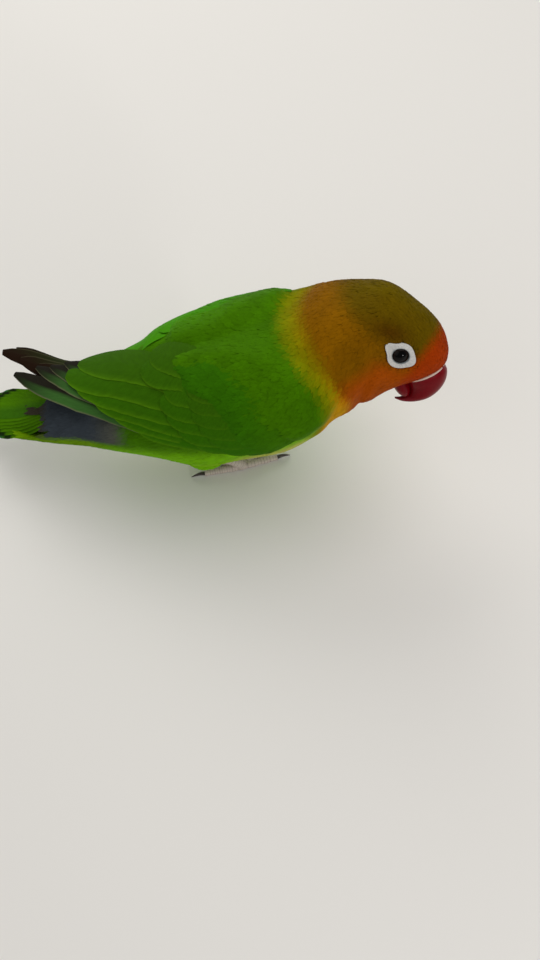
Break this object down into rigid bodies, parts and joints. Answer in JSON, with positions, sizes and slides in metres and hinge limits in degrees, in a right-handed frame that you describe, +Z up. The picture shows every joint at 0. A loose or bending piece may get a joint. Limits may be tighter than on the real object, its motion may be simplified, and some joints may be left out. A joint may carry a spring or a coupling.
{
  "type": "fischer's lovebird",
  "caption": "Life-size still model of a small green lovebird with an orange face, white eye ring and red bill, standing low with its head turned and tilted.",
  "frame": {"origin": "middle of the bird's outline seen from above, on the floor it stands on", "axes": "+X from the tail towards the head, +Y to the bird's left, +Z up"},
  "size_m": [0.1416, 0.051, 0.0706],
  "materials": {
    "plumage_green": "soft, slightly silky feathers",
    "plumage_ochre": "soft feathers",
    "plumage_bronze": "soft feathers",
    "plumage_wing": "smooth feather vanes",
    "plumage_tail": "smooth feather vanes",
    "plumage_yellow_green": "soft feathers",
    "foot_scales": "dry scales",
    "claw_horn": "horn, half gloss",
    "eye_dark": "wet gloss",
    "bare_skin": "matte bare skin",
    "cere_skin": "matte bare skin",
    "bill_horn": "smooth horn, half gloss"
  },
  "bodies": {
    "root": {"torso": "plumage_green", "neck": "plumage_ochre", "head": "plumage_bronze", "tail": "plumage_tail", "wing_left": "plumage_wing", "wing_right": "plumage_wing", "leg_left": "plumage_yellow_green", "leg_right": "plumage_yellow_green", "foot_left": "foot_scales", "foot_right": "foot_scales", "claw_left_1": "claw_horn", "claw_left_2": "claw_horn", "claw_left_3": "claw_horn", "claw_left_4": "claw_horn", "claw_right_1": "claw_horn", "claw_right_2": "claw_horn", "claw_right_3": "claw_horn", "claw_right_4": "claw_horn", "eye_left": "eye_dark", "eye_right": "eye_dark", "eye_ring_left": "bare_skin", "eye_ring_right": "bare_skin", "cere": "cere_skin", "bill_upper": "bill_horn", "bill_lower": "bill_horn"}
  },
  "joints": []
}
